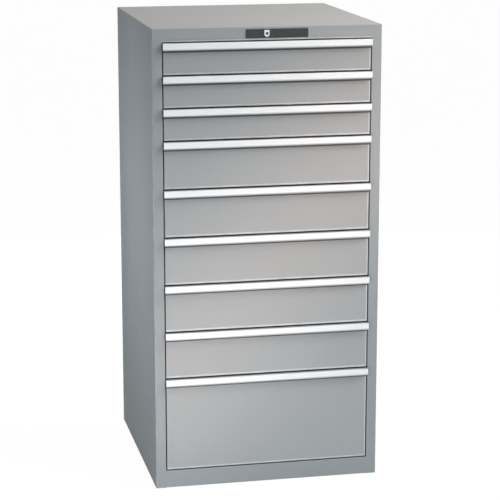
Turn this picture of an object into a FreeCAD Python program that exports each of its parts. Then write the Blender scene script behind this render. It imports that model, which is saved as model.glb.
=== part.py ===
"""Workshop drawer cabinet: a folded steel housing on a plinth, with nine drawers on roller
slides, each behind a steel front with a label handle, and one central lock.

Every piece is drawn with x = 0 in the middle, y = 0 on the housing's front face, y growing
towards the back, and z = 0 on the floor. write() moves it back by half the reach of the
handles, so that the origin is under the middle of the whole cabinet. Sizes are in millimetres.
"""

import FreeCAD, Part
import math
import os

# Housing
width = 717.0
depth = 725.0
height = 1450.0
plinth_height = 58.0
header_height = 42.0
front_steps = [2, 2, 2, 3, 3, 3, 3, 3, 6]  # heights of the fronts, top to bottom, in equal steps
housing_sheet = 1.25
housing_bend = 3.0  # outside radius of the housing's folds
stile_width = 32.5
stile_return = 20.0
back_return = 18.0
top_flange = 8.0
header_return = 18.0
base_flange = 26.0
wing_drop = 15.0
back_sheet = 1.0
anchor_hole_radius = 4.5
anchor_inset = 46.0  # floor anchor hole from the side of the housing
anchor_setback = 14.0  # floor anchor hole from the front or back of the base

# Corner posts inside the housing
post_width = 30.0
post_sheet = 1.5
post_gap = 2.0  # front post to the stile's return
slot_pitch = 100.0
slot_height = 18.0
slot_width = 6.0

# Drawer fronts
front_gap = 3.0  # between one front and the next
front_side_gap = 2.5
front_depth = 18.0
front_sheet = 1.25
front_bend = 2.5

# Label handles
handle_reach = 16.0
handle_height = 23.0
handle_wall = 1.8
handle_end_gap = 0.5
grip_radius = 5.0
label_height = 15.0
label_thick = 0.8
label_lip = 0.9
label_fit = 0.15
label_end_gap = 1.0

# Drawer trays
tray_wall = 1.25
tray_lift = 5.0  # tray bottom above the bottom of its zone
tray_drop = 13.0  # tray edge below the top of its zone
slide_space = 18.75  # tray wall to the edge of the opening
rear_space = 92.5  # back of the trays to the back of the housing
hem_width = 5.5

# Roller slides
rail_sheet = 1.5
rail_height = 45.0  # middle of the slide above the bottom of its zone
roller_radius = 12.0
roller_count = 4
roller_flats = 14  # flats that stand for the round tread
run_clearance = 0.3
strip_sheet = 1.8
strip_gap = 1.6  # carriage strip to the edge of the opening
strip_clearance = 0.8  # carriage strip to the fixed rail
strip_height = 22.0
carriage_length = 560.0
carriage_start = 32.0
roller_inset = 16.0  # end rollers from the ends of the strip
rail_tail = 14.0  # fixed rail behind the drawer's own rail

# Central lock
lock_x = -4.3
lock_below_top = 20.5
rod_radius = 4.0
crank_radius = 15.0
crank_pin_radius = 3.0
crank_thick = 4.0
crank_eye = 5.0
crank_gap = 3.0  # crank to the lock bar, and to its bearing
pin_clearance = 0.7
bar_width = 24.0
bar_thick = 3.0
bar_back_gap = 0.5  # lock bar to the channel that it slides on
bar_head = 2.0  # lock bar above its slot
tooth_length = 30.0
tooth_height = 12.0
tooth_floor_gap = 1.8  # tooth to the catch's floor when locked
catch_height = 50.0  # catch floor above the bottom of its zone
catch_width = 18.0
catch_sheet = 2.5
catch_plate = 16.0
catch_lip = 20.0
catch_gap = 1.5  # tooth to the lip behind it
catch_side_gap = 10.0  # catch to the side of the lock bar
bar_setback = 24.0  # lock bar behind the drawers' backs
bar_foot = 30.0  # lock bar above the base
bridge_height = 12.0
bridge_sheet = 1.5
bridge_lift = 8.0
bridge_clearance = 0.5
channel_flange = 12.0
channel_top_gap = 45.0  # lock channel's head below the top
bearing_arm_gap = 27.0
bearing_margin = 7.0  # bearing plate round the rod

# Lock plate and rosette
plate_left = 65.2  # from the lock's axis
plate_right = 129.3
plate_height = 27.0
plate_proud = 2.5
plate_corner = 3.5
plate_edge = 1.2
plate_body_inset = 5.0
plate_body_depth = 12.0
cutout_clearance = 0.4
rosette_width = 16.0
rosette_height = 21.0
rosette_proud = 1.6
rosette_edge = 0.6
rosette_corner = 1.0
cylinder_radius = 5.0
cylinder_clearance = 0.1
cylinder_length = 26.0
cylinder_recess = 0.2
key_slot_width = 1.4
key_slot_height = 6.0
key_slot_depth = 6.0

past = 1.0  # how far a cutter reaches past what it cuts
tiny = 0.001  # smaller than any size of the cabinet

# Places worked out from the sizes above
front_step = (height - plinth_height - header_height) / sum(front_steps)
front_heights = [front_step * steps for steps in front_steps]
half = width / 2
opening = half - stile_width
inner = half - housing_sheet  # inner face of a side panel
header_bottom = height - header_height
face_y = (handle_reach - depth) / 2
zone_bottoms = [header_bottom - sum(front_heights[: n + 1]) for n in range(len(front_heights))]
front_half = opening - front_side_gap
handle_half = opening - handle_end_gap
tray_half = opening - slide_space
tray_front = front_depth
tray_back = depth - rear_space
back_face = depth - housing_sheet - back_sheet  # inner face of the back panel
post_front = stile_return + post_gap
strip_outer = opening - strip_gap
strip_inner = strip_outer - strip_sheet
rail_web = strip_outer + strip_clearance  # inner face of a fixed rail's web
post_web = rail_web + rail_sheet
roller_inner = tray_half + rail_sheet + 2 * run_clearance
roller_middle = (roller_inner + strip_inner) / 2
rail_half = roller_radius + run_clearance  # inner half height of both rails
rail_back = tray_back + rail_tail
lock_z = height - lock_below_top
bar_front = tray_back + bar_setback
bar_back = bar_front + bar_thick
channel_face = bar_back + bar_back_gap
crank_angle = math.radians(45)
pin_x = lock_x + crank_radius * (1 + math.cos(crank_angle)) / 2
pin_swing = crank_radius * (1 - math.cos(crank_angle)) / 2
pin_rise = crank_radius * math.sin(crank_angle)
bar_left = pin_x - bar_width / 2
bar_right = pin_x + bar_width / 2
crank_back = bar_front - crank_gap
rosette_face = -plate_proud - rosette_proud
cylinder_front = rosette_face + cylinder_recess
cylinder_back = cylinder_front + cylinder_length


def at(plane, u, v, w):
    """The point u, v of a plane, w along its normal."""
    order = {"xy": (u, v, w), "yz": (w, u, v), "xz": (u, w, v)}
    return FreeCAD.Vector(*order[plane])


def box(x0, x1, y0, y1, z0, z1):
    return Part.makeBox(x1 - x0, y1 - y0, z1 - z0, FreeCAD.Vector(x0, y0, z0))


def rod(radius, x, z, y0, y1):
    """A round bar along y."""
    return Part.makeCylinder(radius, y1 - y0, FreeCAD.Vector(x, y0, z), FreeCAD.Vector(0, 1, 0))


def unit(u, v):
    long = math.hypot(u, v)
    return u / long, v / long


def prism(plane, points, radii, start, end):
    """A solid of a closed outline with rounded corners, from start to end along the normal."""
    ends = []
    count = len(points)
    for n, (point, radius) in enumerate(zip(points, radii)):
        before = unit(point[0] - points[n - 1][0], point[1] - points[n - 1][1])
        after_point = points[(n + 1) % count]
        after = unit(after_point[0] - point[0], after_point[1] - point[1])
        turn = math.acos(max(-1.0, min(1.0, before[0] * after[0] + before[1] * after[1])))
        if radius < tiny or turn < tiny:
            ends.append((point, None, point))
            continue
        back = radius * math.tan(turn / 2)
        bisector = unit(after[0] - before[0], after[1] - before[1])
        reach = radius / math.cos(turn / 2) - radius
        first = (point[0] - before[0] * back, point[1] - before[1] * back)
        middle = (point[0] + bisector[0] * reach, point[1] + bisector[1] * reach)
        last = (point[0] + after[0] * back, point[1] + after[1] * back)
        ends.append((first, middle, last))
    edges = []
    for n, (first, middle, last) in enumerate(ends):
        if middle:
            arc = Part.Arc(*[at(plane, *p, start) for p in (first, middle, last)])
            edges.append(arc.toShape())
        onward = ends[(n + 1) % count][0]
        if math.hypot(onward[0] - last[0], onward[1] - last[1]) > tiny:
            edges.append(Part.makeLine(at(plane, *last, start), at(plane, *onward, start)))
    face = Part.Face(Part.Wire(edges))
    return face.extrude(at(plane, 0, 0, 1) * (end - start))


def folded(plane, path, sheet, bend, start, end):
    """A sheet folded along a path, with its thickness to the left and its outside bends rounded."""
    ways = [unit(b[0] - a[0], b[1] - a[1]) for a, b in zip(path, path[1:])]
    near_side = list(path)
    far_side = []
    near_radii = [0.0] * len(path)
    far_radii = [0.0] * len(path)
    tight = max(bend - sheet, 0.0)
    for n, point in enumerate(path):
        before = ways[max(n - 1, 0)]
        after = ways[min(n, len(ways) - 1)]
        across = (-before[1] - after[1], before[0] + after[0])
        share = sheet / (1 + before[0] * after[0] + before[1] * after[1])
        far_side.append((point[0] + across[0] * share, point[1] + across[1] * share))
        if 0 < n < len(path) - 1:
            left_turn = before[0] * after[1] - before[1] * after[0] > 0
            near_radii[n] = bend if left_turn else tight
            far_radii[n] = tight if left_turn else bend
    points = near_side + far_side[::-1]
    return prism(plane, points, near_radii + far_radii[::-1], start, end)


def edges_where(shape, test):
    """The straight edges whose two ends both pass a test."""
    return [e for e in shape.Edges if len(e.Vertexes) == 2 and all(test(v.Point) for v in e.Vertexes)]


def mirrored(shape):
    return shape.mirror(FreeCAD.Vector(0, 0, 0), FreeCAD.Vector(1, 0, 0))


def write(node, *solids):
    shape = solids[0] if len(solids) == 1 else Part.makeCompound(list(solids))
    moved = shape.translated(FreeCAD.Vector(0, face_y, 0))
    moved.exportStep(f"parts/{node}.step")


def side_panel():
    """Right side of the housing, folded into the front stile and the back return.

    The stile turns in beside the drawers only: it meets the header and the plinth edge to edge.
    """
    plain = [(opening, 0.0), (half, 0.0), (half, depth), (half - back_return, depth)]
    turned = [(opening, stile_return)] + plain
    levels = [0.0, plinth_height, header_bottom, height - top_flange]
    lengths = []
    for path, low, high in zip([plain, turned, plain], levels, levels[1:]):
        lengths.append(folded("xy", path, housing_sheet, housing_bend, low, high))
    return lengths[0].fuse(lengths[1:]).removeSplitter()


def uprights(block):
    return [e for e in block.Edges if abs(e.Vertexes[0].Z - e.Vertexes[1].Z) > tiny]


def top_panel():
    """Top sheet with a short flange turned down all round."""
    skirt = height - top_flange
    lid = box(-half, half, 0.0, depth, skirt, height)
    rim = edges_where(lid, lambda p: abs(p.z - height) < tiny)
    lid = lid.makeFillet(housing_bend, uprights(lid) + rim)
    back = depth - housing_sheet
    hollow = box(-inner, inner, housing_sheet, back, skirt - past, height - housing_sheet)
    hollow = hollow.makeFillet(housing_bend - housing_sheet, uprights(hollow))
    return lid.cut(hollow)


def lock_cutout():
    """The opening for the lock plate's body in the header."""
    reach = cutout_clearance - plate_body_inset
    return box(
        lock_x - plate_left - reach,
        lock_x + plate_right + reach,
        -past,
        header_return,
        lock_z - plate_height / 2 - reach,
        lock_z + plate_height / 2 + reach,
    )


def front_header():
    """Rail across the front above the drawers, folded back under its lower edge."""
    path = [(0.0, height - top_flange), (0.0, header_bottom), (header_return, header_bottom)]
    rail = folded("yz", path, housing_sheet, housing_bend, -opening, opening)
    return rail.cut(lock_cutout())


def base_panel():
    """Floor of the housing, folded down at the front as the plinth and at the back."""
    path = [
        (back_face - base_flange, 0.0),
        (back_face, 0.0),
        (back_face, plinth_height),
        (0.0, plinth_height),
        (0.0, 0.0),
        (base_flange, 0.0),
    ]
    floor = folded("yz", path, housing_sheet, housing_bend, -opening, opening)
    start = housing_bend  # the side strips reach under the stiles' returns, up to the folds
    stop = back_face - housing_bend
    low = plinth_height - housing_sheet
    for side in (-1, 1):
        ends = sorted((side * opening, side * inner))
        floor = floor.fuse(box(*ends, start, stop, low, plinth_height))
        lip = sorted((side * inner, side * (inner - housing_sheet)))
        floor = floor.fuse(box(*lip, start, stop, plinth_height - wing_drop, plinth_height))
    for x in (anchor_inset - half, half - anchor_inset):
        for y in (anchor_setback, back_face - anchor_setback):
            spot = FreeCAD.Vector(x, y, -past)
            drill = Part.makeCylinder(anchor_hole_radius, housing_sheet + 2 * past, spot)
            floor = floor.cut(drill)
    return floor.removeSplitter()


def back_panel():
    """Plain sheet inside the side panels' back returns."""
    side = inner - housing_bend
    return box(-side, side, back_face, back_face + back_sheet, 0.0, height - housing_sheet)


def corner_post(start):
    """Upright channel of punched steel that carries the fixed rails, on the right side."""
    stop = start + post_width
    path = [(inner, stop), (post_web, stop), (post_web, start), (inner, start)]
    post = folded("xy", path, post_sheet, 0.0, plinth_height, height - housing_sheet)
    middle = start + post_width / 2
    count = int((header_bottom - plinth_height) / slot_pitch)
    for n in range(count):
        low = plinth_height + slot_pitch * (n + 0.5) - slot_height / 2
        front = middle - slot_width / 2
        right = post_web + post_sheet + past
        post = post.cut(box(post_web - past, right, front, front + slot_width, low, low + slot_height))
    return post


def corner_posts():
    rear_post = rail_back - post_width
    right = [corner_post(post_front), corner_post(rear_post)]
    return right + [mirrored(post) for post in right]


def fixed_rail(middle):
    """Channel on the right posts, open towards the drawer, that the rollers run in."""
    tip = roller_middle + run_clearance
    low, high = middle - rail_half - rail_sheet, middle + rail_half + rail_sheet
    path = [(tip, low), (post_web, low), (post_web, high), (tip, high)]
    return folded("xz", path, rail_sheet, 0.0, post_front, rail_back)


def drawer_rail(middle):
    """Channel on the right wall of a tray, open towards the housing."""
    tip = roller_middle - run_clearance
    low, high = middle - rail_half - rail_sheet, middle + rail_half + rail_sheet
    path = [(tip, high), (tray_half, high), (tray_half, low), (tip, low)]
    return folded("xz", path, rail_sheet, 0.0, tray_front, tray_back)


def tray(bottom, front_height):
    """Drawer pan of folded steel with a channel along each side."""
    low = bottom + tray_lift
    high = bottom + front_height - tray_drop
    path = [
        (-tray_half - hem_width, high),
        (-tray_half, high),
        (-tray_half, low),
        (tray_half, low),
        (tray_half, high),
        (tray_half + hem_width, high),
    ]
    pan = folded("xz", path, tray_wall, 0.0, tray_front, tray_back)
    clear = tray_half - tray_wall / 2
    for y in (tray_front, tray_back - tray_wall):
        pan = pan.fuse(box(-clear, clear, y, y + tray_wall, low + tray_wall / 2, high))
    rail = drawer_rail(bottom + rail_height)
    return pan.fuse([rail, mirrored(rail)]).removeSplitter()


def catch(bottom):
    """Hooked bracket on the back of a tray, which the lock bar's tooth drops into."""
    floor = bottom + catch_height
    lip_front = bar_back + catch_gap
    path = [
        (tray_back + catch_sheet, floor - catch_plate),
        (tray_back + catch_sheet, floor),
        (lip_front + catch_sheet, floor),
        (lip_front + catch_sheet, floor + catch_lip),
    ]
    right = bar_left - catch_side_gap
    return folded("yz", path, catch_sheet, 0.0, right - catch_width, right)


def drawer_front(bottom, front_height):
    """Steel front with its four edges turned back."""
    low, high = bottom + front_gap / 2, bottom + front_height - front_gap / 2
    block = box(-front_half, front_half, 0.0, front_depth, low, high)
    block = block.makeFillet(front_bend, edges_where(block, lambda p: abs(p.y) < tiny))
    pocket = box(
        front_sheet - front_half,
        front_half - front_sheet,
        front_sheet,
        front_depth + past,
        low + front_sheet,
        high - front_sheet,
    )
    return block.cut(pocket)


def handle(bottom, front_height):
    """Aluminium section along the top of a front: a label channel above a rounded grip."""
    top = bottom + front_height - front_gap / 2
    low = top - handle_height
    face = -handle_reach
    window = top - label_lip - label_height - 2 * label_fit
    depth_of_label = label_thick + label_fit
    points = [
        (0.0, top),
        (face, top),
        (face, top - label_lip),
        (face + depth_of_label, top - label_lip),
        (face + depth_of_label, window),
        (face, window),
        (face, low),
        (face + grip_radius, low),
        (face + grip_radius, low + handle_wall),
        (face + depth_of_label + handle_wall, low + handle_wall),
        (face + depth_of_label + handle_wall, top - handle_wall),
        (-handle_wall, top - handle_wall),
        (-handle_wall, low),
        (0.0, low),
    ]
    radii = [grip_radius if point == (face, low) else 0.0 for point in points]
    return prism("yz", points, radii, -handle_half, handle_half)


def label(bottom, front_height):
    """White label strip in the handle's channel."""
    top = bottom + front_height - front_gap / 2 - label_lip - label_fit
    face = -handle_reach
    side = handle_half - label_end_gap
    return box(-side, side, face + label_fit, face + label_fit + label_thick, top - label_height, top)


def carriage(middle):
    """Moving strip with its rollers, between a drawer's rail and the fixed rail on the right."""
    low, high = middle - strip_height / 2, middle + strip_height / 2
    stop = carriage_start + carriage_length
    pieces = [box(strip_inner, strip_outer, carriage_start, stop, low, high)]
    first, last = carriage_start + roller_inset, stop - roller_inset
    for n in range(roller_count):
        y = first + (last - first) * n / (roller_count - 1)
        turns = [2 * math.pi * (side + 0.5) / roller_flats for side in range(roller_flats)]
        tread = [(y + roller_radius * math.sin(a), middle + roller_radius * math.cos(a)) for a in turns]
        pieces.append(prism("yz", tread[::-1], [0.0] * roller_flats, roller_inner, strip_inner))
    return pieces


def cylinder_bore():
    radius = cylinder_radius + cylinder_clearance
    return rod(radius, lock_x, lock_z, rosette_face - past, plate_body_depth + past)


def lock_plate():
    """Dark moulded plate over the header, with its body through the cut-out."""
    low, high = lock_z - plate_height / 2, lock_z + plate_height / 2
    left, right = lock_x - plate_left, lock_x + plate_right
    corners = [(left, low), (right, low), (right, high), (left, high)]
    plate = prism("xz", corners, [plate_corner] * 4, -plate_proud, 0.0)
    rim = [e for e in plate.Edges if all(abs(v.Y + plate_proud) < tiny for v in e.Vertexes)]
    plate = plate.makeChamfer(plate_edge, rim)
    step = plate_body_inset
    body = box(left + step, right - step, -plate_proud / 2, plate_body_depth, low + step, high - step)
    return plate.fuse(body).cut(cylinder_bore()).removeSplitter()


def lock_rosette():
    """Bright shield round the keyhole: flat above, rounded below."""
    side = rosette_width / 2
    high = lock_z + rosette_height / 2
    low = lock_z - rosette_height / 2
    corners = [(-side, low), (side, low), (side, high), (-side, high)]
    points = [(lock_x + x, z) for x, z in corners]
    radii = [side, side, rosette_corner, rosette_corner]
    shield = prism("xz", points, radii, rosette_face, -plate_proud)
    rim = [e for e in shield.Edges if all(abs(v.Y - rosette_face) < tiny for v in e.Vertexes)]
    return shield.makeChamfer(rosette_edge, rim).cut(cylinder_bore())


def lock_cylinder():
    """Turning core of the lock with its key slot."""
    core = rod(cylinder_radius, lock_x, lock_z, cylinder_front, cylinder_back)
    slot = box(
        lock_x - key_slot_width / 2,
        lock_x + key_slot_width / 2,
        cylinder_front - past,
        cylinder_front + key_slot_depth,
        lock_z - key_slot_height / 2,
        lock_z + key_slot_height / 2,
    )
    return core.cut(slot)


def lock_rod():
    """Rod from the lock to the back, with a crank whose pin lifts the lock bar."""
    bar = rod(rod_radius, lock_x, lock_z, cylinder_back, crank_back)
    aim = (math.cos(crank_angle), math.sin(crank_angle))
    side = (-aim[1] * crank_eye, aim[0] * crank_eye)
    reach = (aim[0] * (crank_radius + crank_eye), aim[1] * (crank_radius + crank_eye))
    tail = (-aim[0] * crank_eye, -aim[1] * crank_eye)
    corners = [
        (tail[0] + side[0], tail[1] + side[1]),
        (tail[0] - side[0], tail[1] - side[1]),
        (reach[0] - side[0], reach[1] - side[1]),
        (reach[0] + side[0], reach[1] + side[1]),
    ]
    points = [(lock_x + x, lock_z + z) for x, z in corners]
    arm = prism("xz", points, [crank_eye] * 4, crank_back - crank_thick, crank_back)
    pin_at = (lock_x + crank_radius * aim[0], lock_z + crank_radius * aim[1])
    pin = rod(crank_pin_radius, *pin_at, crank_back - crank_thick, bar_back)
    return bar.fuse([arm, pin]).removeSplitter()


def lock_bar():
    """Upright bar behind the drawers, with one tooth for each catch."""
    rise = crank_pin_radius + pin_clearance
    reach = pin_swing + rise
    middle = lock_z + pin_rise
    foot = plinth_height + bar_foot
    strip = box(bar_left, bar_right, bar_front, bar_back, foot, middle + rise + bar_head)
    corners = [
        (pin_x - reach, middle - rise),
        (pin_x + reach, middle - rise),
        (pin_x + reach, middle + rise),
        (pin_x - reach, middle + rise),
    ]
    slot = prism("xz", corners, [rise] * 4, bar_front - past, bar_back + past)
    pieces = [strip.cut(slot)]
    for bottom in zone_bottoms:
        low = bottom + catch_height + catch_sheet + tooth_floor_gap + 2 * pin_rise
        tooth = box(bar_left - tooth_length, bar_left, bar_front, bar_back, low, low + tooth_height)
        pieces.append(tooth)
    return pieces


def lock_channel():
    """Top-hat channel up the middle of the back, with bridges that hold the lock bar."""
    margin = bridge_clearance + bridge_sheet
    left, right = bar_left - margin, bar_right + margin
    head = height - channel_top_gap
    path = [
        (right + channel_flange, back_face),
        (right, back_face),
        (right, channel_face + bridge_sheet),
        (left, channel_face + bridge_sheet),
        (left, back_face),
        (left - channel_flange, back_face),
    ]
    channel = folded("xy", path, bridge_sheet, 0.0, plinth_height, head)
    front = bar_front - bridge_clearance
    stations = [zone_bottoms[0], zone_bottoms[len(zone_bottoms) // 2], zone_bottoms[-1] + bar_foot]
    for station in stations:
        low = station + bridge_lift
        high = low + bridge_height
        bridge = box(left, right, front - bridge_sheet, channel_face, low, high)
        sides = left + bridge_sheet, right - bridge_sheet
        hollow = box(*sides, front, channel_face, low - past, high + past)
        channel = channel.fuse(bridge.cut(hollow))
    arm_left = left - bearing_arm_gap
    tab_back = crank_back - crank_thick - crank_gap
    tab_front = tab_back - bridge_sheet
    margin = rod_radius + bearing_margin
    ends = lock_z - margin, lock_z + margin
    arm = box(arm_left, arm_left + bridge_sheet, tab_front, back_face, *ends)
    tab = box(arm_left, lock_x + margin, tab_front, tab_back, *ends)
    hole = rod(rod_radius + run_clearance, lock_x, lock_z, tab_front - past, tab_back + past)
    return channel.removeSplitter(), arm.fuse(tab).cut(hole).removeSplitter()


def main():
    os.makedirs("parts", exist_ok=True)
    right_side = side_panel()
    write("side_panel_right", right_side)
    write("side_panel_left", mirrored(right_side))
    write("back_panel", back_panel())
    write("top_panel", top_panel())
    write("base_panel", base_panel())
    write("front_header", front_header())
    write("corner_posts", *corner_posts())
    rails = [fixed_rail(bottom + rail_height) for bottom in zone_bottoms]
    write("fixed_rails_right", *rails)
    write("fixed_rails_left", *[mirrored(rail) for rail in rails])
    write("lock_channel", *lock_channel())
    write("lock_plate", lock_plate())
    write("lock_rosette", lock_rosette())
    write("lock_cylinder", lock_cylinder())
    write("lock_rod", lock_rod())
    write("lock_bar", *lock_bar())
    for n, (bottom, front_height) in enumerate(zip(zone_bottoms, front_heights), start=1):
        write(f"drawer_{n}_tray", tray(bottom, front_height), catch(bottom))
        write(f"drawer_{n}_front", drawer_front(bottom, front_height))
        write(f"drawer_{n}_handle", handle(bottom, front_height))
        write(f"drawer_{n}_label", label(bottom, front_height))
        right = carriage(bottom + rail_height)
        write(f"drawer_{n}_carriage", *right, *[mirrored(piece) for piece in right])


main()
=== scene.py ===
"""Looks of the workshop drawer cabinet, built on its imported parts."""

import math

import bmesh
import bpy
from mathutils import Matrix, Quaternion, Vector


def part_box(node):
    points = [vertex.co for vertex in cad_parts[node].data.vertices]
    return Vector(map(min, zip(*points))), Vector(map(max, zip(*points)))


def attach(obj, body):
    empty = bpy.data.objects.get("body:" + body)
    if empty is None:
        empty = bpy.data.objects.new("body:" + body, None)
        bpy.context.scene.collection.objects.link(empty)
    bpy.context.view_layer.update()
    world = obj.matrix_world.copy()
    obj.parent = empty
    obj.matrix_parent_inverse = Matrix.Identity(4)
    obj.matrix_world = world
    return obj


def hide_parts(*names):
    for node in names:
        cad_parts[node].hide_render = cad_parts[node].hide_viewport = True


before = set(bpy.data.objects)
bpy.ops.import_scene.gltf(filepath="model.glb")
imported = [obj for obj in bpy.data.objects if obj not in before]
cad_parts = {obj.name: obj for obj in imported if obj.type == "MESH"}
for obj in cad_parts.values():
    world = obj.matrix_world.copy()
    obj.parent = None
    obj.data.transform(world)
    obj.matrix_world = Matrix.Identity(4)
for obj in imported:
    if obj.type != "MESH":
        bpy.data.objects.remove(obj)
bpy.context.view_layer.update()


# Housing: side panels, base, header and top are folded from 1.25 mm steel sheet and the back
# from 1 mm sheet, all powder coated in one light grey. The coat is baked on, with a fine
# pebbled skin and a soft shine. These pieces keep the shapes that they were packed with.
class Flow:
    """A value, colour or vector on its way through a material."""

    def __init__(self, tree, socket=None):
        self.tree = tree
        self.socket = socket

    def node(self, kind, inputs=(), output=0, stops=(), **settings):
        """Any node: its settings, then the values or links of its sockets."""
        made = self.tree.nodes.new("ShaderNode" + kind)
        for name, value in settings.items():
            setattr(made, name, value)
        if stops:
            for element, (position, shade) in zip(made.color_ramp.elements, stops):
                element.position = position
                element.color = (shade, shade, shade, 1)
        for name, value in dict(inputs).items():
            if isinstance(value, Flow):
                self.tree.links.new(value.socket, made.inputs[name])
            else:
                made.inputs[name].default_value = value
        return Flow(self.tree, made.outputs[output])

    def sum(self, operation, first, second):
        return self.node("Math", {0: first, 1: second}, operation=operation)

    def __add__(self, other):
        return self.sum("ADD", self, other)

    def __sub__(self, other):
        return self.sum("SUBTRACT", self, other)

    def __rsub__(self, other):
        return self.sum("SUBTRACT", other, self)

    def __mul__(self, other):
        return self.sum("MULTIPLY", self, other)

    __radd__ = __add__
    __rmul__ = __mul__

    def between(self, low, high):
        """From the colour low to the colour high, by this value."""
        colours = {0: self, 6: (*low, 1), 7: (*high, 1)}
        return self.node("Mix", colours, output=2, data_type="RGBA")

    def noise(self, scale, detail=2.0, roughness=0.5):
        values = {"Vector": self, "Scale": scale, "Detail": detail, "Roughness": roughness}
        return self.node("TexNoise", values, output="Fac")

    def fading(self, axis, start, stop):
        """1 at the start, falling smoothly to 0 at the stop, along one axis of this place."""
        along = self.node("SeparateXYZ", {"Vector": self}, output=axis)
        values = {0: along, 1: start, 2: stop, 3: 1.0, 4: 0.0}
        return self.node("MapRange", values, interpolation_type="SMOOTHSTEP")

    def near(self, lines):
        """1 along each line, which is an axis, a place on it and how far the fading reaches."""
        masks = [self.fading(axis, start, start + reach) for axis, start, reach in lines]
        nearest = masks[0]
        for mask in masks[1:]:
            nearest = nearest.sum("MAXIMUM", nearest, mask)
        return nearest

    def covered(self, mask, colour):
        """This colour, with another laid over it where the mask is 1."""
        colours = {0: mask, 6: self, 7: (*colour, 1)}
        return self.node("Mix", colours, output=2, data_type="RGBA")

    def stretched(self, x, y, z):
        """This place, with each axis multiplied, so that a pattern on it is finer along it."""
        return self.node("Mapping", {"Vector": self, "Scale": (x, y, z)})

    def feed(self, shader, name):
        self.tree.links.new(self.socket, shader.inputs[name])

    def bump(self, shader, height):
        """Raises the surface by this pattern, to a height in metres."""
        values = {"Height": self, "Distance": height, "Strength": 1.0}
        self.node("Bump", values).feed(shader, "Normal")


def new_finish(name, **constants):
    """A material, with numbers that are the same all over, and the place that patterns read."""
    material = bpy.data.materials.new(name)
    material.use_nodes = True
    shader = material.node_tree.nodes["Principled BSDF"]
    for socket, value in constants.items():
        shader.inputs[socket.replace("_", " ")].default_value = value
    place = Flow(material.node_tree).node("TexCoord", output="Object")
    return material, shader, place


X, Y, Z = range(3)
HOUSING_GREY = (0.350, 0.369, 0.379)
# Painted highlight: a pale line laid along folded edges, where light catches the bend.
PAINTED_EDGE_HIGHLIGHT = (0.68, 0.69, 0.69)
# Painted shade: the dark colour laid on faces in the narrow gaps between parts, where shade falls.
PAINTED_GAP_SHADE = (0.085, 0.085, 0.087)
# Painted shade: a dark line along a fold or just under a handle, where shade falls.
PAINTED_FOLD_SHADE = (0.09, 0.09, 0.092)
FRONT_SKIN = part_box("drawer_1_front")[0].y
SKIN_START, SKIN_END = 0.001, 0.004
# Where the painted gap shade starts and fades, measured back from the front skin.
GAP_SHADE_START, GAP_SHADE_DEPTH, GAP_SHADE_END = 0.0015, 0.02, 0.03
PEBBLE_HEIGHT = 0.00004


def powder_coat(name, colour, edges=(), gaps=(), folds=(), patches=0.6):
    """Baked powder paint, slightly cloudy, with a fine pebbled skin.

    Along each of the edges a pale line is painted on as a highlight, where light catches the
    fold, and patches says how much of it stays where it is patchy. Painted shade darkens the
    faces that stand in each of the gaps, behind the front skin, and lies as a dark line along
    each of the folds.
    """
    material, shader, place = new_finish(name, Specular_IOR_Level=0.3)
    cloud = place.noise(3.5, 3.0)
    pebbles = place.noise(1300.0, 1.0)
    handled = place.noise(9.0, 4.0, 0.6)
    coat = cloud.between([0.97 * part for part in colour], [1.03 * part for part in colour])
    gloss = 0.52 + 0.14 * handled + 0.06 * pebbles
    if edges or folds:
        skin = place.fading(Y, FRONT_SKIN + SKIN_START, FRONT_SKIN + SKIN_END)
    # Painted highlight along the edges, patchy in places.
    if edges:
        cloudy = place.noise(26.0, 4.0, 0.65)
        patchy = cloudy.node("ValToRGB", {"Fac": cloudy}, stops=((0.34, patches), (0.6, 1.0)))
        coat = coat.covered(place.near(edges) * skin * patchy, PAINTED_EDGE_HIGHLIGHT)
    # Painted shade on the faces in the gaps, behind the front skin.
    if gaps:
        depth = place.fading(Y, FRONT_SKIN + GAP_SHADE_DEPTH, FRONT_SKIN + GAP_SHADE_END)
        depth = depth - place.fading(Y, FRONT_SKIN, FRONT_SKIN + GAP_SHADE_START)
        coat = coat.covered(place.near(gaps) * depth, PAINTED_GAP_SHADE)
    # Painted shade: a dark line along each of the folds.
    if folds:
        coat = coat.covered(place.near(folds) * skin, PAINTED_FOLD_SHADE)
    coat.feed(shader, "Base Color")
    gloss.feed(shader, "Roughness")
    pebbles.bump(shader, PEBBLE_HEIGHT)
    return material


def dress(material, *nodes):
    """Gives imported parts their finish."""
    for node in nodes:
        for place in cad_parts[node].material_slots:
            place.material = material


# How far the painted shade lines in the gaps and along the folds reach.
SHADE_LINE_REACH = 0.0012
BASE_SHADE_REACH = 0.0025
OUTER_EDGE = 0.0025
HEADER_EDGE_RISE, HEADER_EDGE = 0.004, 0.002
dress(powder_coat("housing_coat", HOUSING_GREY), "back_panel", "top_panel")
# The base gets painted shade in the gap above it and a dark painted line along its top fold.
base_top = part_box("base_panel")[1].z
base_gap = [(Z, base_top, -BASE_SHADE_REACH)]
base_fold = [(Z, base_top - SHADE_LINE_REACH, -SHADE_LINE_REACH)]
dress(powder_coat("base_coat", HOUSING_GREY, (), base_gap, base_fold), "base_panel")
# The right side gets painted shade on its return, in the gap beside the fronts.
right_gap = [(X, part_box("side_panel_right")[0].x, SHADE_LINE_REACH)]
dress(powder_coat("right_side_coat", HOUSING_GREY, (), right_gap), "side_panel_right")
# The left side gets a painted highlight along its outer edge and painted shade in the gap beside
# the fronts.
left_low, left_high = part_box("side_panel_left")
left_edge = [(X, left_low.x, OUTER_EDGE)]
left_gap = [(X, left_high.x, -SHADE_LINE_REACH)]
left_coat = powder_coat("left_side_coat", HOUSING_GREY, left_edge, left_gap, patches=0.0)
dress(left_coat, "side_panel_left")
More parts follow.
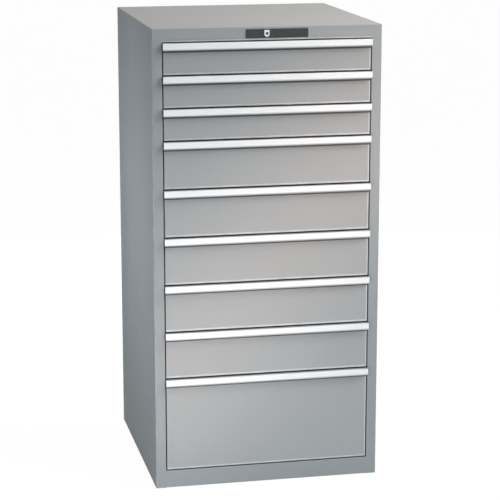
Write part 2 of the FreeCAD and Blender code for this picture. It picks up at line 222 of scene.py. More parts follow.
# The header gets a painted highlight near its foot, painted shade in the gap below it and a dark
# painted line along its foot.
header_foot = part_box("front_header")[0].z
header_edge = [(Z, header_foot + HEADER_EDGE_RISE, HEADER_EDGE)]
header_gap = [(Z, header_foot, SHADE_LINE_REACH)]
header_fold = [(Z, header_foot + SHADE_LINE_REACH, SHADE_LINE_REACH)]
header_coat = powder_coat("header_coat", HOUSING_GREY, header_edge, header_gap, header_fold)
dress(header_coat, "front_header")


# Rivets down the back: blind rivets of aluminium that hold the lock channel's two flanges to
# the back sheet. Each has a low domed head with the stub of its pulled pin in the middle.
RIVET_HEAD = 0.0031
RIVET_RISE = 0.0009
RIVET_STEP = 0.215
RIVET_ROWS = (-0.0115, 0.0285)
FIRST_RIVET, LAST_RIVET = 0.04, 0.02
RIVET_RIM = RIVET_HEAD * 0.66
RIVET_DIP = RIVET_RISE * 0.5
RIVET_DOME = RIVET_RISE * 0.6
RIVET_SILVER = (0.76, 0.77, 0.78)
EVEN_GRAIN = (300, 300, 300)


def start_piece():
    """Deselects everything before a new piece."""
    bpy.ops.object.select_all(action="DESELECT")


def pick(kind, test):
    """In edit mode, selects only the edges or faces that pass a test."""
    bpy.ops.mesh.select_mode(type=kind)
    bpy.ops.mesh.select_all(action="DESELECT")
    mesh = bmesh.from_edit_mesh(bpy.context.edit_object.data)
    for part in mesh.faces if kind == "FACE" else mesh.edges:
        if test(part):
            part.select_set(True)
    bmesh.update_edit_mesh(bpy.context.edit_object.data)


def finished(name, material, smooth=40):
    """Closes a piece: outward faces, place kept in the mesh, shading, name and finish.

    Its edges are smooth up to an angle in degrees, and its flat faces stay flat beside a bend.
    """
    piece = bpy.context.object
    bpy.ops.object.transform_apply(location=True, rotation=True, scale=True)
    bpy.ops.object.mode_set(mode="EDIT")
    bpy.ops.mesh.select_all(action="SELECT")
    bpy.ops.mesh.normals_make_consistent(inside=False)
    bpy.ops.object.mode_set(mode="OBJECT")
    bpy.ops.object.shade_smooth_by_angle(angle=math.radians(smooth))
    flat = piece.modifiers.new("flat", "WEIGHTED_NORMAL")
    flat.keep_sharp = True
    bpy.ops.object.modifier_apply(modifier="flat")
    piece.name = piece.data.name = name
    piece.data.materials.clear()
    piece.data.materials.append(material)
    return piece


def copied(piece, shift):
    """A copy of a piece with its own mesh, moved by a shift in metres."""
    start_piece()
    piece.select_set(True)
    bpy.context.view_layer.objects.active = piece
    bpy.ops.object.duplicate()
    bpy.context.object.location = shift
    bpy.ops.object.transform_apply(location=True)
    return bpy.context.object


def joined(pieces):
    """Several meshes made into one piece."""
    start_piece()
    for piece in pieces:
        piece.select_set(True)
    bpy.context.view_layer.objects.active = pieces[0]
    bpy.ops.object.join()
    return bpy.context.object


def satin_aluminium(name, colour, stretch, layers=()):
    """Anodised aluminium with fine drawn lines along it, dull under each painted shade layer."""
    material, shader, place = new_finish(name, Metallic=1.0)
    lines = place.stretched(*stretch).noise(1.0, 3.0, 0.7)
    metal = lines.between([0.93 * part for part in colour], colour)
    gloss = 0.28 + 0.14 * lines
    if layers:
        dull = place.near([line for line, shade in layers])
        for line, shade in layers:
            metal = metal.covered(place.near([line]), shade)
        gloss = gloss + 0.4 * dull
        (1 - dull).feed(shader, "Metallic")
    metal.feed(shader, "Base Color")
    gloss.feed(shader, "Roughness")
    lines.bump(shader, 0.00002)
    return material


def rivet(x, y, z):
    """A blind rivet's head on a skin that looks backwards."""
    start_piece()
    bpy.ops.mesh.primitive_cylinder_add(
        vertices=24, radius=RIVET_HEAD, depth=RIVET_RISE,
        location=(x, y + RIVET_RISE / 2, z), rotation=(-math.pi / 2, 0, 0),
    )
    bpy.ops.object.transform_apply(location=True, rotation=True)
    bpy.ops.object.mode_set(mode="EDIT")
    pick("FACE", lambda face: face.normal.y > 0.9)
    bpy.ops.mesh.inset(thickness=RIVET_RIM)
    bpy.ops.transform.translate(value=(0, -RIVET_DIP, 0))
    pick("EDGE", lambda edge: all(v.co.y > y + RIVET_RISE * 0.95 for v in edge.verts))
    bpy.ops.mesh.bevel(offset=RIVET_DOME, segments=3)
    bpy.ops.object.mode_set(mode="OBJECT")
    return bpy.context.object


back_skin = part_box("back_panel")[1].y
channel_low, channel_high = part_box("lock_channel")
rivet_aluminium = satin_aluminium("rivet_aluminium", RIVET_SILVER, EVEN_GRAIN)
first_rivet = channel_low.z + FIRST_RIVET
rivet_count = int((channel_high.z - LAST_RIVET - first_rivet) / RIVET_STEP) + 1
heights = [first_rivet + n * RIVET_STEP for n in range(rivet_count)]
joined([rivet(x, back_skin, height) for x in RIVET_ROWS for height in heights])
back_rivets = finished("back_rivets", rivet_aluminium)
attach(back_rivets, "housing")


# Corner posts and fixed rails: pressed from zinc-plated strip. The posts are punched with
# slots, and the rails hang in them, one pair for each drawer.
RAIL_ZINC = (0.62, 0.63, 0.64)


def zinc_plate(name, colour, dullness):
    """Zinc-plated steel: a dull shine, with a faint flowered pattern and light scuffs."""
    material, shader, place = new_finish(name, Metallic=1.0)
    flowers = place.node("TexVoronoi", {"Vector": place, "Scale": 70.0}, output="Color")
    flower = flowers.node("SeparateColor", {"Color": flowers})
    scuffs = place.stretched(60, 6, 400).noise(1.0, 4.0, 0.65)
    deep = [0.86 * part for part in colour]
    (0.6 * flower + 0.4 * scuffs).between(deep, colour).feed(shader, "Base Color")
    (dullness + 0.1 * flower + 0.1 * scuffs).feed(shader, "Roughness")
    place.noise(500.0, 2.0).bump(shader, 0.00003)
    return material


rail_zinc = zinc_plate("rail_zinc", RAIL_ZINC, 0.34)
dress(rail_zinc, "corner_posts", "fixed_rails_right", "fixed_rails_left")


# Roller carriages: a strip of hardened steel on each side of a drawer, with four ball-bearing
# rollers riveted to it. They run between the fixed rail and the drawer's own rail, and travel
# half as far as the drawer.
ROLLER_RADIUS = 0.012
ROLLER_EDGE = 0.0008
ROLLER_COUNT = 4
ROLLER_INSET = 0.016
ROLLER_INSIDE = 0.30935
ROLLER_RINGS = ((0.0028, 0.0), (0.0004, 0.0012), (0.0026, 0.0), (0.0004, -0.001))
STRIP_THICK = 0.0018
STRIP_HEIGHT = 0.022
STRIP_CORNER = 0.005
BROKEN_EDGE = 0.0003
RIVET_RADIUS = 0.0036
STRIP_RIVET_RISE = 0.0005
SAME_PLACE = 1e-5
CARRIAGE_STEEL = (0.60, 0.61, 0.62)
DRAWERS = range(1, 10)


def runs_across(edge):
    """How far an edge reaches from left to right."""
    return abs(edge.verts[0].co.x - edge.verts[1].co.x)


def roller(inside, outside, y, z):
    """One roller, turned with a rounded tread, and an inner face with a recess round its hub."""
    start_piece()
    bpy.ops.mesh.primitive_cylinder_add(
        vertices=40, radius=ROLLER_RADIUS, depth=outside - inside,
        location=((inside + outside) / 2, y, z), rotation=(0, math.pi / 2, 0),
    )
    bpy.ops.object.transform_apply(location=True, rotation=True)
    bpy.ops.object.mode_set(mode="EDIT")
    pick("EDGE", lambda edge: runs_across(edge) < SAME_PLACE)
    bpy.ops.mesh.bevel(offset=ROLLER_EDGE, segments=3)
    pick("FACE", lambda face: face.normal.x < -0.9)
    for ring, step in ROLLER_RINGS:
        bpy.ops.mesh.inset(thickness=ring)
        bpy.ops.transform.translate(value=(step, 0, 0))
    bpy.ops.object.mode_set(mode="OBJECT")
    return bpy.context.object


def carriage_strip(outside, start, stop, z):
    """The flat strip, with its corners rounded and its edges broken."""
    start_piece()
    bpy.ops.mesh.primitive_cube_add(
        size=1, location=(outside - STRIP_THICK / 2, (start + stop) / 2, z),
        scale=(STRIP_THICK, stop - start, STRIP_HEIGHT),
    )
    bpy.ops.object.transform_apply(location=True, scale=True)
    bpy.ops.object.mode_set(mode="EDIT")
    pick("EDGE", lambda edge: runs_across(edge) > STRIP_THICK / 2)
    bpy.ops.mesh.bevel(offset=STRIP_CORNER, segments=5)
    pick("EDGE", lambda edge: runs_across(edge) < SAME_PLACE)
    bpy.ops.mesh.bevel(offset=BROKEN_EDGE, segments=2)
    bpy.ops.object.mode_set(mode="OBJECT")
    return bpy.context.object


def strip_rivet(outside, y, z):
    """Flat riveted end of a roller's axle, on the outside of the strip."""
    start_piece()
    bpy.ops.mesh.primitive_cylinder_add(
        vertices=24, radius=RIVET_RADIUS, depth=2 * STRIP_RIVET_RISE,
        location=(outside, y, z), rotation=(0, math.pi / 2, 0),
    )
    bpy.ops.object.transform_apply(location=True, rotation=True)
    bpy.ops.object.mode_set(mode="EDIT")
    pick("FACE", lambda face: face.normal.x > 0.9)
    bpy.ops.mesh.bevel(offset=BROKEN_EDGE, segments=2)
    bpy.ops.object.mode_set(mode="OBJECT")
    return bpy.context.object


def mirrored_copy(piece):
    """A copy on the other side of the cabinet."""
    twin = copied(piece, (0, 0, 0))
    bpy.ops.object.mode_set(mode="EDIT")
    bpy.ops.mesh.select_all(action="SELECT")
    bpy.ops.transform.resize(value=(-1, 1, 1), center_override=(0, 0, 0))
    bpy.ops.mesh.normals_make_consistent(inside=False)
    bpy.ops.object.mode_set(mode="OBJECT")
    return twin


carriage_steel = zinc_plate("carriage_steel", CARRIAGE_STEEL, 0.24)
low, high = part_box("drawer_1_carriage")
carriage_middle = (low.z + high.z) / 2
rolling = [carriage_strip(high.x, low.y, high.y, carriage_middle)]
for n in range(ROLLER_COUNT):
    reach = (high.y - low.y - 2 * ROLLER_INSET) * n / (ROLLER_COUNT - 1)
    axle = low.y + ROLLER_INSET + reach
    rolling.append(roller(ROLLER_INSIDE, high.x - STRIP_THICK, axle, carriage_middle))
    rolling.append(strip_rivet(high.x, axle, carriage_middle))
right_carriage = joined(rolling)
joined([right_carriage, mirrored_copy(right_carriage)])
carriage = finished("roller_carriage_1", carriage_steel, 30)
carriages = [carriage]
for n in DRAWERS[1:]:
    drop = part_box(f"drawer_{n}_carriage")[0].z - low.z
    carriages.append(copied(carriage, (0, 0, drop)))
for n, piece in zip(DRAWERS, carriages):
    piece.name = piece.data.name = f"roller_carriage_{n}"
    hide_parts(f"drawer_{n}_carriage")
    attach(piece, f"carriage_{n}")


# Drawer pans: each is folded from 1.25 mm sheet, coated like the housing. Its four walls are
# slotted on a 17 mm grid for partition plates, and its side walls end in a hem turned outwards.
GRID = 0.017
GRID_COUNT = 36
PAN_HALF = GRID * GRID_COUNT / 2
PAN_FRONT = -0.33525
PAN_SHEET = 0.00125
PAN_BEND = 0.002
HEM = 0.0055
SLOT_WIDTH = 0.0022
SLOT_HEIGHT = 0.011
SLOT_STEP = 0.045
SLOT_DROP = 0.008
MERGE = 0.0001


def slotted_wall(low_z, high_z):
    """The front wall: one grid unit with its slots cut out, repeated across the drawer."""
    start_piece()
    middle = GRID / 2 - PAN_HALF
    bpy.ops.mesh.primitive_plane_add(
        size=1, location=(middle, PAN_FRONT, (low_z + high_z) / 2), rotation=(math.pi / 2, 0, 0),
    )
    bpy.context.object.scale = (GRID, high_z - low_z, 1)
    bpy.ops.object.transform_apply(location=True, rotation=True, scale=True)
    rows = int((high_z - low_z) / SLOT_STEP)
    tops = [high_z - SLOT_DROP - SLOT_STEP * n for n in range(rows)]
    sides = (middle - SLOT_WIDTH / 2, middle + SLOT_WIDTH / 2)
    cuts = [((x, PAN_FRONT, low_z), (1, 0, 0)) for x in sides]
    cuts += [((middle, PAN_FRONT, z), (0, 0, 1)) for top in tops for z in (top, top - SLOT_HEIGHT)]
    bpy.ops.object.mode_set(mode="EDIT")
    for point, normal in cuts:
        bpy.ops.mesh.select_all(action="SELECT")
        bpy.ops.mesh.bisect(plane_co=point, plane_no=normal)

    def in_slot(face):
        spot = face.calc_center_median()
        in_row = any(0 < top - spot.z < SLOT_HEIGHT for top in tops)
        return in_row and abs(spot.x - middle) < SLOT_WIDTH / 2

    pick("FACE", in_slot)
    bpy.ops.mesh.delete(type="FACE")
    bpy.ops.object.mode_set(mode="OBJECT")
    wall = bpy.context.object
    repeat = wall.modifiers.new("repeat", "ARRAY")
    repeat.count = GRID_COUNT
    repeat.use_relative_offset = False
    repeat.use_constant_offset = True
    repeat.constant_offset_displace = (GRID, 0, 0)
    repeat.use_merge_vertices = True
    repeat.merge_threshold = MERGE
    bpy.ops.object.modifier_apply(modifier="repeat")
    return wall


def drawer_pan(low_z, high_z):
    """Four walls joined round a floor, with rounded folds and hems, then given its thickness."""
    inside_low = low_z + PAN_SHEET
    front = slotted_wall(inside_low, high_z)
    middle = PAN_FRONT + PAN_HALF
    walls = [front]
    for quarter in (1, 2, 3):
        wall = copied(front, (0, 0, 0))
        bpy.ops.object.mode_set(mode="EDIT")
        bpy.ops.mesh.select_all(action="SELECT")
        turn = quarter * math.pi / 2
        bpy.ops.transform.rotate(value=turn, orient_axis="Z", center_override=(0, middle, 0))
        bpy.ops.object.mode_set(mode="OBJECT")
        walls.append(wall)
    joined(walls)
    bpy.ops.object.mode_set(mode="EDIT")
    bpy.ops.mesh.select_all(action="SELECT")
    bpy.ops.mesh.remove_doubles(threshold=MERGE)
    pick("EDGE", lambda edge: all(v.co.z < inside_low + SAME_PLACE for v in edge.verts))
    bpy.ops.mesh.edge_face_add()

    def is_fold(edge):
        """All round the floor, and up the four corners."""
        first, second = (v.co for v in edge.verts)
        corner = abs(abs(first.x) - PAN_HALF) + abs(abs(first.y - middle) - PAN_HALF) < SAME_PLACE
        upright = (first - second).xy.length < SAME_PLACE
        return max(first.z, second.z) < inside_low + SAME_PLACE or (upright and corner)

    pick("EDGE", is_fold)
    bpy.ops.mesh.bevel(offset=PAN_BEND, segments=3)
    bpy.ops.mesh.select_all(action="SELECT")
    bpy.ops.mesh.normals_make_consistent(inside=False)
    for side in (-1, 1):

        def is_rim(edge):
            """The top edge of the wall on one side."""
            top = all(v.co.z > high_z - SAME_PLACE for v in edge.verts)
            return top and all(side * v.co.x > PAN_HALF - SAME_PLACE for v in edge.verts)

        pick("EDGE", is_rim)
        outward = (side * (HEM + PAN_SHEET), 0, 0)
        bpy.ops.mesh.extrude_region_move(TRANSFORM_OT_translate={"value": outward})
    bpy.ops.object.mode_set(mode="OBJECT")
    pan = bpy.context.object
    sheet = pan.modifiers.new("sheet", "SOLIDIFY")
    sheet.thickness = PAN_SHEET
    sheet.offset = 1
    bpy.ops.object.modifier_apply(modifier="sheet")
    return pan


# The pan's rails: a channel of zinc-plated strip welded along each side wall, open outwards,
# that the rollers run in. A hooked catch of the same steel is riveted to the back wall.
RAIL_TIP = 0.31565
RAIL_WEB = 0.30725
RAIL_HALF = 0.0138
RAIL_SHEET = 0.0015
RAIL_RISE = 0.040
RAIL_BEND = 0.0018
CATCH_SHEET = 0.0025
CATCH_LEFT = -0.031497
CATCH_RIGHT = -0.013497
CATCH_FLOOR = 0.045
CATCH_PLATE = 0.016
CATCH_LIP = 0.020
CATCH_REACH = 0.031
CATCH_BEND = 0.0005


def drawn_line(corners):
    """A line drawn corner by corner, left in edit mode with all of it selected."""
    start_piece()
    bpy.ops.mesh.primitive_plane_add(size=0.001, location=corners[0])
    bpy.ops.object.transform_apply(location=True)
    bpy.ops.object.mode_set(mode="EDIT")
    bpy.ops.mesh.select_mode(type="VERT")
    bpy.ops.mesh.select_all(action="SELECT")
    bpy.ops.mesh.merge(type="CENTER")
    for before, after in zip(corners, corners[1:]):
        step = Vector(after) - Vector(before)
        bpy.ops.mesh.extrude_region_move(TRANSFORM_OT_translate={"value": step})
    bpy.ops.mesh.select_all(action="SELECT")


def folded_strip(corners, run, sheet, bend):
    """Sheet folded along a section: drawn corner by corner, pulled out, bent and thickened."""
    drawn_line(corners)
    bpy.ops.mesh.extrude_region_move(TRANSFORM_OT_translate={"value": run})
    along = Vector(run).normalized()
    folds = [Vector(corner) for corner in corners[1:-1]]

    def is_fold(edge):
        """Along the run, through one of the inner corners."""
        first, second = (v.co for v in edge.verts)
        if abs((second - first).normalized().dot(along)) < 0.99:
            return False
        return any((first - fold).cross(along).length < SAME_PLACE for fold in folds)

    pick("EDGE", is_fold)
    bpy.ops.mesh.bevel(offset=bend, segments=4)
    bpy.ops.object.mode_set(mode="OBJECT")
    strip = bpy.context.object
    thick = strip.modifiers.new("sheet", "SOLIDIFY")
    thick.thickness = sheet
    thick.offset = 1
    bpy.ops.object.modifier_apply(modifier="sheet")
    return strip


pan_coat = powder_coat("pan_coat", HOUSING_GREY)
pan_start = PAN_FRONT - PAN_SHEET
pan_back = PAN_FRONT + 2 * PAN_HALF + PAN_SHEET
patterns = {}
for n in DRAWERS:
    low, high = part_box(f"drawer_{n}_tray")
    deep = round(high.z - low.z, 4)
    if deep in patterns:
        source, source_low = patterns[deep]
        pan = copied(source, (0, 0, low.z - source_low))
        pan.name = pan.data.name = f"drawer_pan_{n}"
    else:
        drawer_pan(low.z, high.z)
        pan = finished(f"drawer_pan_{n}", pan_coat, 30)
        patterns[deep] = (pan, low.z)
    upper = low.z + RAIL_RISE + RAIL_HALF
    lower = low.z + RAIL_RISE - RAIL_HALF
    channel = [(RAIL_TIP, upper), (RAIL_WEB, upper), (RAIL_WEB, lower), (RAIL_TIP, lower)]
    corners = [(x, pan_start, z) for x, z in channel]
    right_rail = folded_strip(corners, (0, pan_back - pan_start, 0), RAIL_SHEET, RAIL_BEND)
    joined([right_rail, mirrored_copy(right_rail)])
    rails = finished(f"drawer_rails_{n}", rail_zinc, 30)
    floor = low.z + CATCH_FLOOR
    shelf = floor + CATCH_SHEET
    lip = pan_back + CATCH_REACH - CATCH_SHEET
    foot, tip = floor - CATCH_PLATE, floor + CATCH_LIP
    profile = [(pan_back, foot), (pan_back, shelf), (lip, shelf), (lip, tip)]
    corners = [(CATCH_LEFT, y, z) for y, z in profile]
    folded_strip(corners, (CATCH_RIGHT - CATCH_LEFT, 0, 0), CATCH_SHEET, CATCH_BEND)
    hook = finished(f"catch_{n}", rail_zinc, 30)
    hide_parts(f"drawer_{n}_tray")
    for piece in (pan, rails, hook):
        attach(piece, f"drawer_{n}")


# Drawer fronts: folded steel, coated like the housing, with all four edges turned back over a
# small radius. They keep the shapes that they were packed with.
FRONT_GREY = (0.384, 0.388, 0.391)
# Painted light: each front's grey is a step lighter than the one above, so the fronts lighten
# toward the bottom as if lit more there.
FRONT_LIGHT_STEP = 0.012
# Reaches of the painted highlights along a front's foot and sides.
PALE_FOOT, PALE_RIGHT, PALE_LEFT = 0.003, 0.003, 0.002
FOOT_RISE, RIGHT_INSET = 0.0045, 0.0025
# Painted shadow: a dark line on the front just under its handle.
HANDLE_SHADOW_DROP, HANDLE_SHADOW_WIDTH = 0.0045, 0.0035
for n in DRAWERS:
    low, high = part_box(f"drawer_{n}_front")
    # Painted light: this front's grey, made lighter by its place in the stack.
    lit_front_grey = [(1 + FRONT_LIGHT_STEP * (n - 1)) * part for part in FRONT_GREY]
    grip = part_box(f"drawer_{n}_handle")[0].z
    # Painted highlights along the front's foot and sides, and painted shade on its returns in the
    # gaps.
    front_edges = [(Z, low.z + FOOT_RISE, PALE_FOOT), (X, high.x - RIGHT_INSET, -PALE_RIGHT)]
    front_edges += [(X, low.x, PALE_LEFT)]
    front_gaps = [(X, low.x, SHADE_LINE_REACH), (X, high.x, -SHADE_LINE_REACH)]
    front_gaps += [(Z, low.z, SHADE_LINE_REACH), (Z, high.z, -SHADE_LINE_REACH)]
    # Painted shadow line under the handle, laid on as a dark fold line.
    handle_shadow = [(Z, grip - HANDLE_SHADOW_DROP, -HANDLE_SHADOW_WIDTH)]
    front_coat = powder_coat(f"front_coat_{n}", lit_front_grey, front_edges, front_gaps, handle_shadow)
    dress(front_coat, f"drawer_{n}_front")


# Handles: an extruded aluminium section, anodised in satin silver, along the top of each front.
# Its face has a channel for the label strip, and its lower edge is rolled under as a grip.
HANDLE_WALL = 0.0018
GRIP_RADIUS = 0.005
LABEL_LIP = 0.0009
LABEL_WINDOW = 0.0153
LABEL_DEEP = 0.00095
INNER_RADIUS = 0.0014
CREST_RADIUS = 0.0004
WINDOW_RADIUS = 0.0003
TAIL_RADIUS = 0.0005
BEVEL_SLACK = 0.00005
# Painted shade along the handle's back, where it meets the front.
BACK_SHADE_START, BACK_SHADE_REACH = 0.001, 0.007
GRIP_FOOT, GRIP_REACH = 0.0005, 0.0075
HANDLE_SILVER = (0.85, 0.86, 0.87)
# Painted shade on the grip's rolled underside, which faces down.
GRIP_UNDERSIDE_SHADE = (0.30, 0.305, 0.31)
DRAWN_GRAIN = (2.5, 1400, 1400)


def handle_section(low, high):
    """The section's outline, drawn corner by corner, filled, pulled out and rounded."""
    face, back = low.y, high.y
    rear = face + LABEL_DEEP + HANDLE_WALL
    window = high.z - LABEL_LIP - LABEL_WINDOW
    corners = [
        (back, high.z), (face, high.z), (face, high.z - LABEL_LIP),
        (face + LABEL_DEEP, high.z - LABEL_LIP), (face + LABEL_DEEP, window), (face, window),
        (face, low.z), (face + GRIP_RADIUS, low.z), (face + GRIP_RADIUS, low.z + HANDLE_WALL),
        (rear, low.z + HANDLE_WALL), (rear, high.z - HANDLE_WALL),
        (back - HANDLE_WALL, high.z - HANDLE_WALL), (back - HANDLE_WALL, low.z), (back, low.z),
    ]
    drawn_line([(low.x, y, z) for y, z in corners])
    bpy.ops.mesh.edge_face_add()
    bpy.ops.mesh.extrude_region_move(TRANSFORM_OT_translate={"value": (high.x - low.x, 0, 0)})

    def runs_along(edge, y, z):
        """An edge from left to right through one corner of the section."""
        spot = edge.verts[0].co
        there = abs(spot.y - y) < SAME_PLACE and abs(spot.z - z) < SAME_PLACE
        return there and runs_across(edge) > 0.1

    for y, z, radius, segments in (
        (face, low.z, GRIP_RADIUS - BEVEL_SLACK, 12),
        (rear, low.z + HANDLE_WALL, INNER_RADIUS, 5),
        (face, high.z, CREST_RADIUS, 3),
        (face, window, WINDOW_RADIUS, 2),
        (back - HANDLE_WALL, low.z, TAIL_RADIUS, 2),
    ):
        pick("EDGE", lambda edge: runs_along(edge, y, z))
        bpy.ops.mesh.bevel(offset=radius, segments=segments)
    bpy.ops.object.mode_set(mode="OBJECT")


def handle_satin(n):
    """A handle's finish, with painted shade along its back and on the grip's rolled underside."""
    low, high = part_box(f"drawer_{n}_handle")
    # Painted shade near the handle's back, where it meets the front.
    behind = ((Y, high.y - BACK_SHADE_START, -BACK_SHADE_REACH), PAINTED_GAP_SHADE)
    # Painted shade on the grip's underside, darkest at its foot.
    grip = ((Z, low.z + GRIP_FOOT, GRIP_REACH), GRIP_UNDERSIDE_SHADE)
    return satin_aluminium(f"handle_satin_{n}", HANDLE_SILVER, DRAWN_GRAIN, [behind, grip])


low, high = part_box("drawer_1_handle")
handle_section(low, high)
handle = finished("handle_1", handle_satin(1), 35)
handles = [handle]
for n in DRAWERS[1:]:
    handles.append(copied(handle, (0, 0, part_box(f"drawer_{n}_handle")[0].z - low.z)))
for n, piece in zip(DRAWERS, handles):
    piece.name = piece.data.name = f"handle_{n}"
    if n > 1:
        piece.data.materials[0] = handle_satin(n)
    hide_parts(f"drawer_{n}_handle")
    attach(piece, f"drawer_{n}")


# Label strips: blank white card under clear film, for writing what each drawer holds. Each is
# pushed into the channel of its handle from the end, and keeps the shape it was packed with.
LABEL_WHITE = (0.95, 0.95, 0.95)


def filmed_card(name, colour):
    """White card under a clear film, with a trace of the card's fibres."""
    film = {"Coat_Weight": 1.0, "Coat_Roughness": 0.12, "Coat_IOR": 1.65}
    material, shader, place = new_finish(name, **film)
    fibres = place.stretched(260, 900, 900).noise(1.0, 4.0, 0.6)
    fibres.between([0.985 * part for part in colour], colour).feed(shader, "Base Color")
    (0.5 + 0.15 * fibres).feed(shader, "Roughness")
    place.stretched(14, 60, 60).noise(1.0, 2.0).bump(shader, 0.0001)
    return material


dress(filmed_card("filmed_card", LABEL_WHITE), *[f"drawer_{n}_label" for n in DRAWERS])


# Lock: a dark moulded plate over the header, a chromed shield round the keyhole, and the
# turning cylinder with its key slot and the dark shutter behind it.
LOCK_BLACK = (0.045, 0.047, 0.051)
LOCK_CHROME = (0.80, 0.80, 0.82)
SHUTTER_BLACK = (0.02, 0.02, 0.021)
SHUTTER_HALF = 0.0044
SHUTTER_RISE = 0.0052


def moulded_plastic(name, colour):
    """Dark plastic with the fine spark-eroded grain of its mould."""
    material, shader, place = new_finish(name, Specular_IOR_Level=0.3)
    grain = place.noise(2600.0, 2.0)
    sheen = place.noise(40.0, 3.0)
    sheen.between([0.85 * part for part in colour], colour).feed(shader, "Base Color")
    (0.42 + 0.12 * grain + 0.06 * sheen).feed(shader, "Roughness")
    grain.bump(shader, 0.00005)
    return material


def bright_chrome(name, colour):
    """Chrome plate with hair-fine wiping marks."""
    material, shader, place = new_finish(name, Metallic=1.0)
    marks = place.stretched(900, 900, 4000).noise(1.0, 3.0, 0.7)
    marks.between([0.94 * part for part in colour], colour).feed(shader, "Base Color")
    (0.1 + 0.12 * marks).feed(shader, "Roughness")
    return material


def shuttered_chrome(name, colour, node):
    """Chrome with a dark shutter in the middle, behind which the key goes in."""
    material, shader, place = new_finish(name, Metallic=1.0)
    low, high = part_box(node)
    across, up = 1 / SHUTTER_HALF, 1 / SHUTTER_RISE
    middle = ((low.x + high.x) / 2 * across, 0, (low.z + high.z) / 2 * up)
    flat = place.stretched(across, 0, up)
    away = flat.node("VectorMath", {0: flat, 1: middle}, output="Value", operation="DISTANCE")
    shutter = away.node("MapRange", {0: away, 1: 0.85, 2: 1.0, 3: 1.0, 4: 0.0})
    shutter.between(colour, SHUTTER_BLACK).feed(shader, "Base Color")
    (1 - shutter).feed(shader, "Metallic")
    (0.14 + 0.3 * shutter).feed(shader, "Roughness")
    return material


dress(moulded_plastic("lock_plastic", LOCK_BLACK), "lock_plate")
dress(bright_chrome("lock_chrome", LOCK_CHROME), "lock_rosette")
dress(shuttered_chrome("cylinder_chrome", LOCK_CHROME, "lock_cylinder"), "lock_cylinder")


# Lock rod, lock bar and their channel: zinc-plated steel. The rod runs back over the top
# drawer, and its crank lifts and lowers the bar in the channel behind the drawers.
LOCK_ZINC = (0.56, 0.57, 0.58)
lock_zinc = zinc_plate("lock_zinc", LOCK_ZINC, 0.32)
dress(lock_zinc, "lock_rod", "lock_bar", "lock_channel")


# Studio: a floor and a surround that look white but light the cabinet softly. A large high
# lamp stands on the right, two strips aslant in front lay warm bands over the drawers, and
# others light the foot, the top, the sides and the back.
FLOOR_WHITE = (0.55, 0.55, 0.55)
FLOOR_GLOW, GLOW_SHARE = 1.10, 0.88
SHADE_LIGHT = (0.172, 0.210, 0.232)
WHITE, BRIGHT = (1.0, 1.0, 1.0), (1.0, 0.98, 0.96)
WARM, COOL = (1.0, 0.75, 0.59), (0.84, 0.93, 1.0)


def seen_directly(flow):
    """1 where the surface is looked at, directly, in a reflection or through glass."""
    rays = ("Is Camera Ray", "Is Glossy Ray", "Is Transmission Ray")
    camera_ray, glossy_ray, transmission_ray = (flow.node("LightPath", output=ray) for ray in rays)
    seen = camera_ray + glossy_ray + transmission_ray
    return seen.sum("MINIMUM", seen, 1.0)


start_piece()
bpy.ops.mesh.primitive_plane_add(size=60, location=(0, 0, -0.0005))
studio_floor = bpy.context.object
studio_floor.name = "studio_floor"
floor_paint = bpy.data.materials.new("floor_paint")
floor_paint.use_nodes = True
tree = floor_paint.node_tree
matt = tree.nodes["Principled BSDF"]
matt.inputs["Base Color"].default_value = (*FLOOR_WHITE, 1)
matt.inputs["Roughness"].default_value = 0.9
matt.inputs["Specular IOR Level"].default_value = 0.1
flow = Flow(tree)
glow = flow.node("Emission", {"Color": (*WHITE, 1), "Strength": FLOOR_GLOW})
share = seen_directly(flow) * GLOW_SHARE
shown = flow.node("MixShader", {0: share, 1: Flow(tree, matt.outputs[0]), 2: glow})
tree.links.new(shown.socket, tree.nodes["Material Output"].inputs["Surface"])
studio_floor.data.materials.append(floor_paint)

world = bpy.data.worlds.new("studio_surround")
bpy.context.scene.world = world
world.use_nodes = True
flow = Flow(world.node_tree)
surround = seen_directly(flow).between(SHADE_LIGHT, WHITE)
backdrop = flow.node("Background", {"Color": surround, "Strength": 1.0})
world.node_tree.links.new(backdrop.socket, world.node_tree.nodes["World Output"].inputs["Surface"])


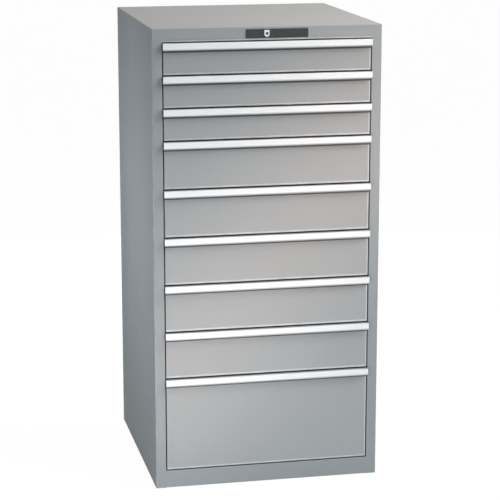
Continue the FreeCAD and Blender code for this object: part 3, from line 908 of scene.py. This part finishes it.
def soft_lamp(name, place, target, size, power, colour, spread=180, roll=0):
    """A lamp with a lit face of a size, that the camera doesn't see.

    A lamp with a spread below 180 degrees is there for shading alone, so metal doesn't
    mirror it. Roll turns the lit face about its aim, in degrees.
    """
    start_piece()
    bpy.ops.object.light_add(type="AREA", location=place)
    lamp = bpy.context.object
    lamp.name = name
    lamp.data.shape = "RECTANGLE"
    lamp.data.size, lamp.data.size_y = size
    lamp.data.energy = power
    lamp.data.color = colour
    lamp.data.spread = math.radians(spread)
    aim = (Vector(target) - Vector(place)).to_track_quat("-Z", "Y")
    lamp.rotation_euler = (aim @ Quaternion((0, 0, 1), math.radians(roll))).to_euler()
    lamp.visible_camera = False
    lamp.visible_glossy = spread == 180


soft_lamp("key_lamp", (1.75, -1.45, 2.75), (0.2, -0.35, 0.9), (1.9, 1.9), 63, BRIGHT)
soft_lamp("foot_lamp", (-0.6, -1.7, 0.3), (-0.1, -0.35, 0.3), (0.9, 0.7), 10, COOL)
soft_lamp("slant_lamp", (-0.1, -2.6, 0.55), (-0.1, -0.35, 0.55), (1.7, 0.12), 0.29, WARM, 20, 50)
soft_lamp("wide_lamp", (0.05, -2.6, 0.8), (0.05, -0.35, 0.8), (1.7, 0.3), 1.1, WARM, 30, 45)
soft_lamp("top_lamp", (0.5, 0.2, 3.2), (0.5, 0.2, 1.45), (1.2, 1.2), 16.5, WARM)
soft_lamp("side_lamp", (-2.4, -0.1, 0.85), (-0.36, 0.0, 0.85), (0.8, 0.8), 1.0, COOL, 36)
soft_lamp("right_lamp", (3.0, 0.3, 0.85), (0.36, 0.0, 0.8), (1.1, 1.1), 38, WHITE)
soft_lamp("back_lamp", (0.3, 3.4, 0.85), (0.0, 0.37, 0.8), (1.1, 1.1), 62, WHITE)


# Camera: where the photograph was taken from, worked out from the directions of the housing's
# edges in it. The turns are in radians, and the lens and its sensor in millimetres.
CAMERA_PLACE = (-1.2160, -5.8035, 2.0263)
CAMERA_YAW = 0.2097
CAMERA_PITCH = 0.2237
LENS, SENSOR = 132.55, 36
start_piece()
bpy.ops.object.camera_add(
    location=CAMERA_PLACE, rotation=(math.pi / 2 - CAMERA_PITCH, 0, -CAMERA_YAW)
)
camera = bpy.context.object
camera.data.lens = LENS
camera.data.sensor_width = SENSOR
bpy.context.scene.camera = camera
bpy.context.scene.view_settings.view_transform = "Standard"
